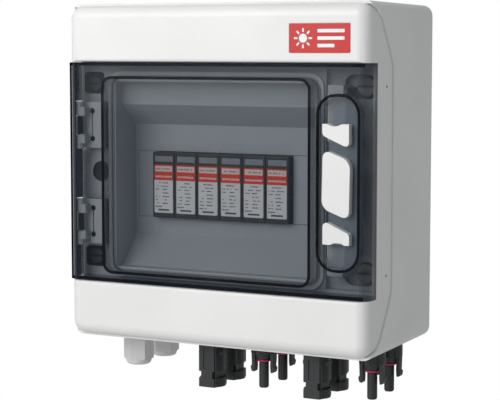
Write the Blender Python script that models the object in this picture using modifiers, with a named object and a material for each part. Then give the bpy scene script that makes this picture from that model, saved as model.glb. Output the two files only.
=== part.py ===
"""DC combiner box: wall-mounted enclosure with a smoked door, surge arresters and solar connectors.

Units are metres, +Z is up, the front faces -Y. The origin is the centre of the face that meets the
wall, so the whole box lies at Y below zero.
"""

import math

import bmesh
import bpy
from mathutils import Matrix, Vector

NAME = "dc_combiner_box"

# Driving dimensions of the enclosure.
WIDTH = 0.230
HEIGHT = 0.2312
DEPTH = 0.108
WALL = 0.003
GAP = 0.0003
SEAM_GAP = 0.0004
LID_INSET = 0.0015
PANEL_THICKNESS = 0.0022
HALF_WIDTH = WIDTH / 2
HALF_HEIGHT = HEIGHT / 2
FRONT = -DEPTH
CORNER_RADIUS = 0.0075
FRONT_RADIUS = 0.0085

# The seam between base and lid, as (y, z) on its upper half; the lower half mirrors it.
SEAM_HALF = [
    (-0.0685, 0.072),
    (-0.0700, 0.0765),
    (-0.0770, 0.0885),
    (-0.0880, 0.1042),
    (-0.0945, 0.1105),
    (-0.1000, 0.1135),
]

# The platform behind the door, and the door itself.
PLATFORM_Y = -0.091
BAND_RADIUS = 0.0022
SIDE_MARKS = [(-0.0781, 0.0604), (-0.0770, -0.0626)]
DOOR_Z = (-0.0757, 0.0755)
DOOR_REAR_Y = -0.093
DOOR_WALL = 0.002
DOOR_CORNER_RADIUS = 0.008
RIB_X = (-0.0872, 0.0726)
RIB_Z = (-0.0702, 0.0662)
RIB_RADIUS = 0.008
RIB_WALL = 0.0016
RIB_REAR_Y = -0.0934
RING_FRONT_Y = -0.0925

# The recessed front panel and its slot for the modules.
PANEL_X = (-0.0842, 0.0694)
PANEL_PROFILE = [
    (RING_FRONT_Y, 0.0624),
    (-0.0840, 0.0612),
    (-0.0840, 0.0463),
    (-0.0660, 0.0319),
    (-0.0660, -0.0456),
    (-0.0840, -0.0666),
    (RING_FRONT_Y, -0.0668),
]
SLOT_Z = (-0.03375, 0.01315)
SLOT_X = (-0.0820, 0.0670)
PANEL_FACE_Y = -0.0660

# The latch compartment to the right of the ring, and the finger pocket in the door.
CHANNEL_X = (0.0765, 0.1105)
CHANNEL_Z = 0.072
CHANNEL_Y = -0.086
POCKET_X = (0.0780, 0.1060)
POCKET_Z = (-0.0570, 0.0548)
POCKET_FLOOR_Y = -0.1015
POCKET_RADIUS = 0.012
POCKET_WALL = 0.0016
LATCH_SLOT_X = (0.0800, 0.0832)
LATCH_SLOT_Z = (-0.0500, 0.0480)
LATCH_CENTRE = (0.0907, -0.0018)
BOLT_Y = (-0.0970, -0.0946)
BOLT_TIP_Z = 0.0588
CATCH_Z = 0.0554

# Hinge on the left: a vertical axis through two brackets.
HINGE_X = -0.1082
HINGE_Y = -0.1015
HINGE_EYE_RADIUS = 0.0029
HINGE_PIN_RADIUS = 0.0013
BRACKET_BLOCKS = {"upper": (0.0158, 0.0480), "lower": (-0.0513, -0.0199)}
BRACKET_FACE_Y = -0.096
EYE_HEIGHT = 0.006
EYE_INSET = 0.0035

# Lid screws (x, z): quarter-turn screws in pockets.
SCREW_X = 0.1026
SCREW_UPPER_Z = 0.0605
SCREW_LOWER_Z = -0.0608
SCREW_HEADS = {"left": (0.0055, -0.0852), "right": (0.0068, -0.0814)}
SCREW_TIP_Y = -0.0590
POST_FRONT_Y = -0.068

# Surge arresters: six plugs in two three-pole bases on a top-hat rail.
MODULE_PITCH = 0.0178
MODULE_X0 = -0.0668
PLUG_FRONT_Y = -0.0720
PLUG_REAR_Y = -0.0300
SLOT_CENTRE_Z = (SLOT_Z[0] + SLOT_Z[1]) / 2
BASE_BLOCK_Y = (-0.0580, -0.0198)
BASE_BLOCK_HALF = 0.045
RAIL_Y = (-0.0195, -0.0120)
RAIL_HALF_LENGTH = 0.095

# Underside: connectors in four columns and two rows, and two glands.
CONNECTOR_X = [-0.0235, 0.0170, 0.0578, 0.0984]
CONNECTOR_ROWS = {"front": -0.0634, "rear": -0.0344}
BOTTOM = -HALF_HEIGHT
CONNECTOR_NECK = 0.0060
CONNECTOR_TOP_Z = BOTTOM + 0.0145
GLAND_X = -0.0850
GLAND_ROWS = {"front": -0.0626, "rear": -0.0266}
WIRE_RADIUS = 0.0022

# Thin shells with many cuts, on which the EXACT solver loses the whole solid.
MANIFOLD_PARTS = {"lid"}

parts = bpy.data.collections.new(NAME)
cutters = bpy.data.collections.new("cutters")


def clear_scene():
    for obj in list(bpy.data.objects):
        bpy.data.objects.remove(obj, do_unlink=True)
    bpy.context.scene.collection.children.link(parts)
    bpy.context.scene.collection.children.link(cutters)


def make_material(name, colour, roughness, metallic=0.0, transmission=0.0):
    material = bpy.data.materials.new(name)
    material.use_nodes = True
    shader = material.node_tree.nodes["Principled BSDF"]
    shader.inputs["Base Color"].default_value = (*colour, 1.0)
    shader.inputs["Roughness"].default_value = roughness
    shader.inputs["Metallic"].default_value = metallic
    shader.inputs["Transmission Weight"].default_value = transmission
    return material


def add_object(name, mesh, material=None):
    """A mesh object in the parts collection, or in the cutters when it has no material."""
    obj = bpy.data.objects.new(name, mesh)
    if material:
        mesh.materials.clear()
        mesh.materials.append(material)
        parts.objects.link(obj)
    else:
        cutters.objects.link(obj)
        obj.hide_render = True
        obj.display_type = "WIRE"
    return obj


def smooth(obj, angle=35):
    obj.data.shade_smooth()
    obj.data.set_sharp_from_angle(angle=math.radians(angle))


def mesh_from(bm, name):
    bmesh.ops.recalc_face_normals(bm, faces=bm.faces)
    mesh = bpy.data.meshes.new(name)
    bm.to_mesh(mesh)
    bm.free()
    return mesh


def edges_along(bm, axis):
    def along(edge):
        run = (edge.verts[0].co - edge.verts[1].co).normalized()
        return abs(run[axis]) > 0.99

    return [edge for edge in bm.edges if along(edge)]


def block(name, x, y, z, material=None, along=None, radius=0.0, steps=4):
    """A box from its ranges, with the edges along one axis rounded."""
    bm = bmesh.new()
    bmesh.ops.create_cube(bm, size=1.0)
    size = Vector((x[1] - x[0], y[1] - y[0], z[1] - z[0]))
    centre = Vector((x[1] + x[0], y[1] + y[0], z[1] + z[0])) / 2
    bmesh.ops.scale(bm, vec=size, verts=bm.verts)
    if along is not None:
        edges = edges_along(bm, along)
        bmesh.ops.bevel(bm, geom=edges, offset=radius, segments=steps, affect="EDGES", profile=0.5)
    obj = add_object(name, mesh_from(bm, name), material)
    obj.location = centre
    return obj


def cylinder(name, centre, radius, depth, axis="Z", sides=24, material=None):
    """A cylinder along Z or Y."""
    bm = bmesh.new()
    bmesh.ops.create_cone(bm, cap_ends=True, segments=sides, radius1=radius, radius2=radius, depth=depth)
    if axis == "Y":
        bmesh.ops.rotate(bm, cent=(0, 0, 0), matrix=Matrix.Rotation(math.pi / 2, 3, "X"), verts=bm.verts)
    obj = add_object(name, mesh_from(bm, name), material)
    obj.location = centre
    return obj


def arc(centre, radius, start, end, steps):
    """Points of an arc, angles in degrees."""
    turn = [math.radians(start + (end - start) * i / steps) for i in range(steps + 1)]
    return [(centre[0] + radius * math.cos(a), centre[1] + radius * math.sin(a)) for a in turn]


def rounded_rectangle(x, z, radius, steps=4):
    corners = [
        ((x[1] - radius, z[1] - radius), 0),
        ((x[0] + radius, z[1] - radius), 90),
        ((x[0] + radius, z[0] + radius), 180),
        ((x[1] - radius, z[0] + radius), 270),
    ]
    return [p for centre, start in corners for p in arc(centre, radius, start, start + 90, steps)]


def outline_solid(name, points, depth_range, facing, material=None):
    """A flat outline, as a filled 2D curve extruded along an axis, turned into a closed mesh.

    facing "Y" takes points as (x, z), "X" takes them as (y, z) and "Z" takes them as (x, y).
    """
    low, high = depth_range
    curve = bpy.data.curves.new(name, "CURVE")
    curve.dimensions = "2D"
    curve.fill_mode = "BOTH"
    curve.extrude = (high - low) / 2
    spline = curve.splines.new("POLY")
    spline.points.add(len(points) - 1)
    for point, (u, v) in zip(spline.points, points):
        point.co = (u, v, 0, 1)
    spline.use_cyclic_u = True
    guide = bpy.data.objects.new(name + "_curve", curve)
    middle = (low + high) / 2
    turns = {
        "X": Matrix(((0, 0, 1, middle), (1, 0, 0, 0), (0, 1, 0, 0), (0, 0, 0, 1))),
        "Y": Matrix(((1, 0, 0, 0), (0, 0, 1, middle), (0, 1, 0, 0), (0, 0, 0, 1))),
        "Z": Matrix(((1, 0, 0, 0), (0, 1, 0, 0), (0, 0, 1, middle), (0, 0, 0, 1))),
    }
    mesh = baked_mesh(guide, name)
    bm = bmesh.new()
    bm.from_mesh(mesh)
    bm.transform(turns[facing])
    bmesh.ops.remove_doubles(bm, verts=bm.verts, dist=1e-6)
    bpy.data.meshes.remove(mesh)
    return add_object(name, mesh_from(bm, name), material)


def baked_mesh(obj, name):
    """The mesh that a temporary object evaluates to. The object is removed."""
    cutters.objects.link(obj)
    bpy.context.view_layer.update()
    graph = bpy.context.evaluated_depsgraph_get()
    mesh = bpy.data.meshes.new_from_object(obj.evaluated_get(graph))
    mesh.name = name
    bpy.data.objects.remove(obj, do_unlink=True)
    return mesh


def tube(name, points, radius, material=None, cyclic=False, resolution=1):
    """A round tube along a poly line, as a closed mesh."""
    curve = bpy.data.curves.new(name, "CURVE")
    curve.dimensions = "3D"
    curve.bevel_depth = radius
    curve.bevel_resolution = resolution
    curve.use_fill_caps = not cyclic
    spline = curve.splines.new("POLY")
    spline.points.add(len(points) - 1)
    for point, place in zip(spline.points, points):
        point.co = (*place, 1)
    spline.use_cyclic_u = cyclic
    mesh = baked_mesh(bpy.data.objects.new(name + "_curve", curve), name)
    bm = bmesh.new()
    bm.from_mesh(mesh)
    bmesh.ops.remove_doubles(bm, verts=bm.verts, dist=1e-6)
    bpy.data.meshes.remove(mesh)
    obj = add_object(name, mesh_from(bm, name), material)
    smooth(obj, 60)
    return obj


def turned(name, profile, location, material=None, steps=20, closed=False):
    """A turned shape about a vertical axis: a profile of (radius, z), running top to bottom."""
    bm = bmesh.new()
    verts = [bm.verts.new((radius, 0, z)) for radius, z in profile]
    pairs = list(zip(verts, verts[1:]))
    if closed:
        pairs.append((verts[-1], verts[0]))
    for first, second in pairs:
        bm.edges.new((first, second))
    mesh = bpy.data.meshes.new(name)
    bm.to_mesh(mesh)
    bm.free()
    obj = add_object(name, mesh, material)
    obj.location = location
    screw = obj.modifiers.new("turn", "SCREW")
    screw.axis = "Z"
    screw.steps = steps
    screw.render_steps = steps
    screw.use_merge_vertices = True
    screw.merge_threshold = 1e-5
    screw.use_smooth_shade = True
    return obj


def boolean(obj, other, operation):
    modifier = obj.modifiers.new(operation.lower(), "BOOLEAN")
    modifier.object = other
    modifier.operation = operation
    modifier.solver = "MANIFOLD" if obj.name in MANIFOLD_PARTS else "EXACT"


def cut(obj, *others):
    for other in others:
        boolean(obj, other, "DIFFERENCE")


def join(obj, *others):
    for other in others:
        boolean(obj, other, "UNION")


def frame_solid(name, x, z, radius, wall, y):
    """A rounded rectangular frame lying in the XZ plane, outer size given."""
    outer = outline_solid(name, rounded_rectangle(x, z, radius), y, "Y")
    hole_x = (x[0] + wall, x[1] - wall)
    hole_z = (z[0] + wall, z[1] - wall)
    through = (y[0] - 0.001, y[1] + 0.001)
    inner = outline_solid(name + "_inside", rounded_rectangle(hole_x, hole_z, radius - wall), through, "Y")
    cut(outer, inner)
    return outer


def seam_profile(offset):
    """The closed (y, z) outline behind the seam, with the seam moved by offset along Y."""
    upper = [(y + offset, z) for y, z in SEAM_HALF]
    edge_y = SEAM_HALF[-1][0] + offset
    top = HALF_HEIGHT + 0.002
    upper.append((edge_y, top))
    lower = [(y, -z) for y, z in reversed(upper)]
    return upper + [(0.01, top), (0.01, -top)] + lower


def make_base(plastic):
    outline = rounded_rectangle((-HALF_WIDTH, HALF_WIDTH), (-HALF_HEIGHT, HALF_HEIGHT), CORNER_RADIUS, 6)
    base = outline_solid("base_box", outline, (-0.104, 0.0), "Y", plastic)
    draft = 1 - 0.0012 / HALF_WIDTH
    for vertex in base.data.vertices:
        if vertex.co.y > -0.001:
            vertex.co.x *= draft
            vertex.co.z *= draft
    boolean(base, outline_solid("base_side", seam_profile(0.0), (-0.12, 0.12), "X"), "INTERSECT")
    inside_x = (-HALF_WIDTH + WALL, HALF_WIDTH - WALL)
    inside_z = (-HALF_HEIGHT + WALL, HALF_HEIGHT - WALL)
    cavity = rounded_rectangle(inside_x, inside_z, CORNER_RADIUS - WALL, 4)
    cut(base, outline_solid("base_cavity", cavity, (-0.12, -WALL), "Y"))
    for side in (-1, 1):
        for z in (SCREW_UPPER_Z, SCREW_LOWER_Z):
            centre = (side * SCREW_X, (POST_FRONT_Y - 0.001) / 2, z)
            post = cylinder("screw_post", centre, 0.006, abs(POST_FRONT_Y) - 0.001, "Y", 16)
            bore = cylinder("screw_bore", (side * SCREW_X, POST_FRONT_Y, z), 0.0029, 0.036, "Y", 12)
            join(base, post)
            cut(base, bore)
        for z in (0.095, -0.090):
            cut(base, cylinder("wall_hole", (side * 0.098, 0, z), 0.0026, 0.02, "Y", 12))
        rail_post = (side * 0.080, -0.0064, SLOT_CENTRE_Z)
        join(base, cylinder("rail_post", rail_post, 0.006, 0.0106, "Y", 12))
    for x in CONNECTOR_X:
        for y in CONNECTOR_ROWS.values():
            cut(base, cylinder("connector_hole", (x, y, BOTTOM), CONNECTOR_NECK + GAP, 0.02, "Z", 20))
    for y in GLAND_ROWS.values():
        cut(base, cylinder("gland_hole", (GLAND_X, y, BOTTOM), 0.0060 + GAP, 0.02, "Z", 20))
    smooth(base)


def make_lid(plastic):
    half_x = HALF_WIDTH - LID_INSET
    half_z = HALF_HEIGHT - LID_INSET
    bm = bmesh.new()
    bmesh.ops.create_cube(bm, size=1.0)
    bmesh.ops.scale(bm, vec=(2 * half_x, 0.05, 2 * half_z), verts=bm.verts)
    bmesh.ops.translate(bm, vec=(0, FRONT + 0.025, 0), verts=bm.verts)
    bmesh.ops.bevel(bm, geom=edges_along(bm, 1), offset=0.0088, segments=5, affect="EDGES", profile=0.5)
    at_front = [e for e in bm.edges if all(v.co.y < FRONT + 1e-5 for v in e.verts)]
    bmesh.ops.bevel(bm, geom=at_front, offset=FRONT_RADIUS, segments=5, affect="EDGES", profile=0.5)
    lid = add_object("lid", mesh_from(bm, "lid"), plastic)
    cut(lid, outline_solid("lid_side", seam_profile(-SEAM_GAP), (-0.12, 0.12), "X"))

    # The hollow behind: the middle behind the platform, and one box behind each band.
    inner_x = (-half_x + 0.0025, half_x - 0.0025)
    inner_z = (-half_z + 0.0025, half_z - 0.0025)
    plate_back = PLATFORM_Y + WALL
    cut(lid, block("lid_hollow", inner_x, (plate_back, 0.0), inner_z, along=1, radius=0.004, steps=2))
    band_x = (inner_x[0] + 0.0015, inner_x[1] - 0.0015)
    upper_z = (DOOR_Z[1] + 0.003, inner_z[1] - 0.0015)
    lower_z = (inner_z[0] + 0.0015, DOOR_Z[0] - 0.003)
    for low, high in (upper_z, lower_z):
        band_y = (FRONT + 0.003, -0.06)
        cut(lid, block("band_hollow", band_x, band_y, (low, high), along=2, radius=0.006, steps=3))

    # Room for the door, then the rim that meets its right wall.
    room_z = (DOOR_Z[0] - SEAM_GAP, DOOR_Z[1] + SEAM_GAP)
    cut(lid, block("door_room", (-0.12, 0.12), (-0.12, DOOR_REAR_Y + GAP), room_z))
    cut(lid, block("platform_room", (-0.12, HALF_WIDTH - 0.0045), (-0.12, PLATFORM_Y), room_z))

    # Rounded edges of the two bands along the door, and two small marks in the right side.
    for side, edge in ((1, room_z[1]), (-1, room_z[0])):
        inner = (FRONT + BAND_RADIUS, edge + side * BAND_RADIUS)
        curve = [(y, inner[1] + side * (z - inner[1])) for y, z in arc(inner, BAND_RADIUS, 270, 180, 4)]
        outside = edge - side * 0.002
        corner = [(FRONT - 0.002, inner[1]), (FRONT - 0.002, outside), (inner[0], outside)]
        cut(lid, outline_solid("band_round", curve + corner, (-0.12, 0.12), "X"))
    for y, z in SIDE_MARKS:
        mark = arc((y, z), 0.0009, 0, 315, 7)
        cut(lid, outline_solid("side_mark", mark, (HALF_WIDTH - LID_INSET - 0.0006, 0.12), "X"))

    # Ring around the recess, the recess tub, and the latch compartment.
    ring_x = (RIB_X[0] - 0.003, RIB_X[1] + 0.003)
    ring_z = (RIB_Z[0] - 0.003, RIB_Z[1] + 0.003)
    ring = outline_solid("ring", rounded_rectangle(ring_x, ring_z, 0.010), (RING_FRONT_Y, -0.089), "Y")
    join(lid, ring)
    back = [(y + PANEL_THICKNESS, z) for y, z in PANEL_PROFILE[1:-1]]
    back[0] = (-0.0895, ring_z[1] - 0.004)
    back[-1] = (-0.0895, ring_z[0] + 0.004)
    back.insert(1, (-0.0840 + PANEL_THICKNESS, 0.0634))
    back.insert(-1, (-0.0840 + PANEL_THICKNESS, -0.0680))
    tub_x = (PANEL_X[0] - PANEL_THICKNESS, PANEL_X[1] + PANEL_THICKNESS)
    join(lid, outline_solid("tub", back, tub_x, "X"))
    front = [(-0.110, PANEL_PROFILE[0][1])] + PANEL_PROFILE + [(-0.110, PANEL_PROFILE[-1][1])]
    shell_x = (CHANNEL_X[0] - 0.002, HALF_WIDTH - 0.0030)
    join(lid, block("channel_shell", shell_x, (-0.0895, CHANNEL_Y + 0.0025), (-0.0742, 0.0742)))
    for pocket in screw_pockets():
        for z_low, z_high in pocket["z"]:
            shell = (pocket["x"][0] - 0.0018, min(pocket["x"][1] + 0.0018, HALF_WIDTH - 0.0030))
            depth = (-0.0895, pocket["floor"] + 0.002)
            join(lid, block("pocket_shell", shell, depth, (z_low - 0.0018, z_high + 0.0018)))
    cut(lid, outline_solid("recess", front, PANEL_X, "X"))
    cut(lid, block("module_slot", SLOT_X, (-0.07, -0.06), SLOT_Z))
    channel_z = (-CHANNEL_Z, CHANNEL_Z)
    cut(lid, block("channel", CHANNEL_X, (-0.12, CHANNEL_Y), channel_z, along=2, radius=0.002, steps=2))
    for pocket in screw_pockets():
        for z_low, z_high in pocket["z"]:
            room = block("pocket", pocket["x"], (-0.12, pocket["floor"]), (z_low, z_high), along=1,
                         radius=pocket["radius"], steps=4)
            cut(lid, room)
    for side in (-1, 1):
        for z in (SCREW_UPPER_Z, SCREW_LOWER_Z):
            cut(lid, cylinder("screw_hole", (side * SCREW_X, -0.08, z), 0.0034, 0.03, "Y", 12))
    cut(lid, cylinder("round_pocket", (-0.0972, PLATFORM_Y, -0.0007), 0.0072, 0.003, "Y", 20))

    # Groove for the door gasket, and the shallow seat of the name plate.
    groove_x = (RIB_X[0] - 0.0006, RIB_X[1] + 0.0006)
    groove_z = (RIB_Z[0] - 0.0006, RIB_Z[1] + 0.0006)
    groove = (RING_FRONT_Y - 0.002, RING_FRONT_Y + 0.0012)
    cut(lid, frame_solid("groove", groove_x, groove_z, RIB_RADIUS + 0.0006, 0.0028, groove))
    cut(lid, block("plate_seat", (0.0577, 0.1012), (-0.12, FRONT + 0.0005), (0.0819, 0.1013)))

    # Catches that the latch bolts hook behind.
    for side in (1, -1):
        post_z = sorted((side * 0.0596, side * 0.0618))
        lip_z = sorted((side * CATCH_Z, side * 0.0618))
        join(lid, block("catch_post", (0.0815, 0.0925), (-0.0993, CHANNEL_Y + 0.001), post_z))
        join(lid, block("catch_lip", (0.0815, 0.0925), (-0.0993, -0.0974), lip_z))
    smooth(lid)


def screw_pockets():
    """The pockets of the lid screws: the left pair is square, the right pair runs out to the right."""
    return [
        {
            "x": (-0.1105, -0.0940),
            "z": [(0.0535, 0.0687), (-0.0680, -0.0535)],
            "floor": -0.0850,
            "radius": 0.0030,
        },
        {
            "x": (0.0876, CHANNEL_X[1]),
            "z": [(0.0525, 0.0684), (-0.0690, -0.0530)],
            "floor": -0.0812,
            "radius": 0.0060,
        },
    ]


def seam_y(z):
    """Where the seam lies at a height, by straight runs between its points."""
    height = min(max(abs(z), SEAM_HALF[0][1]), SEAM_HALF[-1][1])
    for (y0, z0), (y1, z1) in zip(SEAM_HALF, SEAM_HALF[1:]):
        if height <= z1:
            return y0 + (y1 - y0) * (height - z0) / (z1 - z0)
    return SEAM_HALF[-1][0]


def make_lid_gasket(rubber):
    """A round cord that follows the seam, just inside the base's rim."""
    x = HALF_WIDTH - WALL - 0.0014
    top = HALF_HEIGHT - WALL - 0.0014
    radius = 0.004
    knots = [z for _, z in SEAM_HALF[:4]]
    side = knots[::-1] + [-z for z in knots]
    right = [(x, z) for z in side]
    left = [(-x, -z) for z in side]
    lower = arc((x - radius, -top + radius), radius, 0, -90, 3)
    lower += arc((-x + radius, -top + radius), radius, -90, -180, 3)
    upper = [(-px, -pz) for px, pz in lower]
    path = right + lower + left + upper
    return tube("lid_gasket", [(px, seam_y(pz) + 0.004, pz) for px, pz in path], 0.0011, rubber, cyclic=True)


def make_door(smoked):
    half_x = HALF_WIDTH - LID_INSET
    door = block("door", (-half_x, half_x), (FRONT, DOOR_REAR_Y), DOOR_Z, smoked)
    round_front_sides(door, DOOR_CORNER_RADIUS, 5)
    inside_x = (-half_x + DOOR_WALL, half_x - DOOR_WALL)
    inside_z = (DOOR_Z[0] + DOOR_WALL, DOOR_Z[1] - DOOR_WALL)
    hollow = block("door_hollow", inside_x, (FRONT + DOOR_WALL, -0.08), inside_z)
    round_front_sides(hollow, 0.005, 3)
    cut(door, hollow)
    join(door, frame_solid("rib", RIB_X, RIB_Z, RIB_RADIUS, RIB_WALL, (FRONT + 0.001, RIB_REAR_Y)))

    # The finger pocket: a cup that hangs behind the front, with a slot for the latch.
    outer_x = (POCKET_X[0] - POCKET_WALL, POCKET_X[1] + POCKET_WALL)
    outer_z = (POCKET_Z[0] - POCKET_WALL, POCKET_Z[1] + POCKET_WALL)
    cup = rounded_rectangle(outer_x, outer_z, POCKET_RADIUS + POCKET_WALL, 5)
    join(door, outline_solid("cup", cup, (FRONT + 0.001, POCKET_FLOOR_Y + POCKET_WALL), "Y"))
    hole = rounded_rectangle(POCKET_X, POCKET_Z, POCKET_RADIUS, 5)
    cut(door, outline_solid("finger_room", hole, (-0.12, POCKET_FLOOR_Y), "Y"))
    cut(door, block("latch_slot", LATCH_SLOT_X, (-0.11, -0.09), LATCH_SLOT_Z))

    # Knuckles for the pins, and notches that let the left wall swing past the brackets.
    for low, high in BRACKET_BLOCKS.values():
        notch = (low - 0.0006, high + 0.0006)
        cut(door, block("notch", (-0.12, -0.1105), (-0.1009, -0.08), notch))
        middle = (low + high) / 2
        length = high - low - 2 * (EYE_INSET + EYE_HEIGHT + SEAM_GAP)
        knuckle = cylinder("knuckle", (HINGE_X, HINGE_Y, middle), 0.0026, length, "Z", 16)
        web_z = (middle - length / 2, middle + length / 2)
        web = block("knuckle_web", (HINGE_X - 0.0016, HINGE_X + 0.0016), (FRONT + 0.001, HINGE_Y), web_z)
        join(door, knuckle, web)
        bore_radius = HINGE_PIN_RADIUS + GAP
        cut(door, cylinder("pin_bore", (HINGE_X, HINGE_Y, middle), bore_radius, length + 0.002, "Z", 12))
    smooth(door)


def round_front_sides(obj, radius, steps):
    """Rounds the two upright front edges, and the rest of the front by a little."""
    bm = bmesh.new()
    bm.from_mesh(obj.data)
    front = min(v.co.y for v in bm.verts)
    upright = [e for e in edges_along(bm, 2) if all(v.co.y < front + 1e-5 for v in e.verts)]
    bmesh.ops.bevel(bm, geom=upright, offset=radius, segments=steps, affect="EDGES", profile=0.5)
    bm.to_mesh(obj.data)
    bm.free()


def make_door_gasket(rubber):
    """A flat cord in the ring's groove, under the door's rib."""
    x = (RIB_X[0] - 0.0003, RIB_X[1] + 0.0003)
    z = (RIB_Z[0] - 0.0003, RIB_Z[1] + 0.0003)
    y = (RIB_REAR_Y + GAP, RING_FRONT_Y + 0.0009)
    gasket = outline_solid("door_gasket", rounded_rectangle(x, z, RIB_RADIUS), y, "Y", rubber)
    hole_x = (x[0] + 0.0022, x[1] - 0.0022)
    hole_z = (z[0] + 0.0022, z[1] - 0.0022)
    inner = rounded_rectangle(hole_x, hole_z, RIB_RADIUS - 0.0022)
    cut(gasket, outline_solid("gasket_inside", inner, (-0.10, -0.09), "Y"))


def make_hinge(which, plastic, steel):
    """A bracket with two eyes on the lid, and the pin that the door turns on."""
    low, high = BRACKET_BLOCKS[which]
    name = "hinge_bracket_" + which
    rear = PLATFORM_Y - GAP
    bracket = block(name, (-0.1100, -0.0915), (BRACKET_FACE_Y, rear), (low, high), plastic, 2, 0.0012, 2)
    bore_z = []
    inner_side = HINGE_X + 0.0032
    outer_side = HINGE_X + 0.0048
    for eye_low, boss_z in ((low + EYE_INSET, low), (high - EYE_INSET - EYE_HEIGHT, high - EYE_INSET)):
        # The arm leaves the eye sideways, so that the door's left wall can swing behind the pin.
        eye = arc((HINGE_X, HINGE_Y), HINGE_EYE_RADIUS, -70, -326, 14)
        eye += [(inner_side, HINGE_Y + 0.0016), (inner_side, BRACKET_FACE_Y + 0.001)]
        eye += [(outer_side, BRACKET_FACE_Y + 0.001), (outer_side, HINGE_Y - 0.0010)]
        join(bracket, outline_solid("eye", eye, (eye_low, eye_low + EYE_HEIGHT), "Z"))
        lap = 0.0005 if boss_z == low else -0.0005
        boss = (HINGE_X, HINGE_Y, boss_z + (EYE_INSET + lap) / 2)
        join(bracket, cylinder("boss", boss, HINGE_EYE_RADIUS - 0.0001, EYE_INSET + 0.0005, "Z", 24))
        bore_z.append(eye_low + EYE_HEIGHT / 2)
        screw = cylinder("bracket_recess", (-0.1010, BRACKET_FACE_Y, bore_z[-1]), 0.0020, 0.005, "Y", 12)
        cut(bracket, screw)
    for z in bore_z:
        bore_length = EYE_HEIGHT + 2 * GAP
        bore = cylinder("eye_bore", (HINGE_X, HINGE_Y, z), HINGE_PIN_RADIUS + GAP, bore_length, "Z", 12)
        cut(bracket, bore)
    slit = block("bracket_slit", (-0.1013, -0.1007), (-0.099, BRACKET_FACE_Y + 0.001), bore_z)
    cut(bracket, slit)
    smooth(bracket)
    pin_length = bore_z[1] - bore_z[0] + EYE_HEIGHT
    centre = (HINGE_X, HINGE_Y, (bore_z[0] + bore_z[1]) / 2)
    pin = cylinder("hinge_pin_" + which, centre, HINGE_PIN_RADIUS, pin_length, "Z", 12, steel)
    smooth(pin)


def make_lid_screw(side, level, nylon):
    """A quarter-turn screw: slotted head in its pocket, shaft into the base's post."""
    radius, seat_y = SCREW_HEADS[side]
    x = SCREW_X if side == "right" else -SCREW_X
    z = SCREW_UPPER_Z if level == "upper" else SCREW_LOWER_Z
    head_height = 0.0048
    reach = seat_y - SCREW_TIP_Y
    profile = [
        (0, head_height),
        (radius - 0.0006, head_height),
        (radius, head_height - 0.0006),
        (radius, 0),
        (0.0025, 0),
        (0.0025, reach),
        (0.0015, reach - 0.0015),
        (0, reach - 0.0015),
    ]
    name = "lid_screw_" + level + "_" + side
    screw = turned(name, profile, (x, seat_y, z), nylon, steps=16)
    screw.rotation_euler = (math.pi / 2, 0, 0)
    slot_y = (-0.12, seat_y - head_height + 0.0022)
    slot = block("driver_slot", (x - 0.02, x + 0.02), slot_y, (z - 0.0007, z + 0.0007))
    cut(screw, slot)


def slider_outline():
    """The upper slider's (x, z) outline: thumb notch on top, sloping underneath."""
    notch = arc((0.0895, 0.0445), 0.0090, 236, 304, 5)
    return (
        [(0.0811, 0.0370)]
        + notch
        + [(0.0999, 0.0370), (0.0999, 0.0250), (0.0992, 0.0236), (0.0978, 0.0229), (0.0960, 0.0232)]
        + [(0.0822, 0.0292), (0.0811, 0.0310)]
    )


def grip_outline():
    """The grip's (x, z) outline, symmetric under half a turn."""
    upper = [(0.0813, 0.0145)] + arc((0.0850, 0.0155), 0.0037, 165, 70, 4)
    upper += arc((0.0925, 0.0080), 0.0082, 62, 5, 4)
    centre_x, centre_z = LATCH_CENTRE
    return upper + [(2 * centre_x - x, 2 * centre_z - z) for x, z in upper]


def half_turn(points):
    centre_x, centre_z = LATCH_CENTRE
    return [(2 * centre_x - x, 2 * centre_z - z) for x, z in points]


def make_latch(white, steel):
    """Grip fixed in the pocket, and two sliders that are squeezed towards it."""
    front_y = -0.1068
    floor_gap = POCKET_FLOOR_Y - GAP
    leg_x = (LATCH_SLOT_X[0] + GAP, LATCH_SLOT_X[1] - GAP)
    grip = outline_solid("latch_grip", grip_outline(), (front_y, floor_gap), "Y", white)
    centre_z = LATCH_CENTRE[1]
    stop = 0.0092
    join(grip, block("grip_leg", leg_x, (-0.1030, BOLT_Y[1]), (centre_z - stop, centre_z + stop)))
    bar_z = (centre_z - stop, centre_z + stop)
    join(grip, block("grip_bar", (leg_x[0], 0.0935), BOLT_Y, bar_z))
    smooth(grip)
    for which, side in (("upper", 1), ("lower", -1)):
        outline = slider_outline() if side == 1 else half_turn(slider_outline())
        slider = outline_solid("latch_slider_" + which, outline, (front_y, floor_gap), "Y", white)
        leg_z = sorted((centre_z + side * 0.0335, centre_z + side * 0.0385))
        bar_z = sorted((side * BOLT_TIP_Z, centre_z + side * 0.0270))
        join(slider, block("slider_leg", leg_x, (-0.1030, BOLT_Y[1]), leg_z))
        if side == -1:
            bridge = block("slider_bridge", (leg_x[0], 0.0935), (-0.1030, floor_gap), leg_z)
            join(slider, bridge)
        join(slider, block("bolt", (leg_x[0], 0.0925), BOLT_Y, bar_z))
        smooth(slider)
        near = centre_z + side * (stop + GAP)
        far = centre_z + side * (0.0270 - GAP)
        make_spring("latch_spring_" + which, 0.0890, (BOLT_Y[0] + BOLT_Y[1]) / 2, near, far, steel)


def make_spring(name, x, y, near, far, steel):
    """A coil between two heights, its wire held inside them."""
    wire = 0.00028
    radius = 0.0014
    turns = 6
    points_per_turn = 8
    count = turns * points_per_turn
    side = 1 if far > near else -1
    start = near + side * wire * 1.2
    length = abs(far - near) - 2.4 * wire
    coil = []
    for i in range(count + 1):
        angle = 2 * math.pi * i / points_per_turn
        height = start + side * length * i / count
        coil.append((x + radius * math.cos(angle), y + radius * math.sin(angle), height))
    tube(name, coil, wire, steel, resolution=0)


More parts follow.
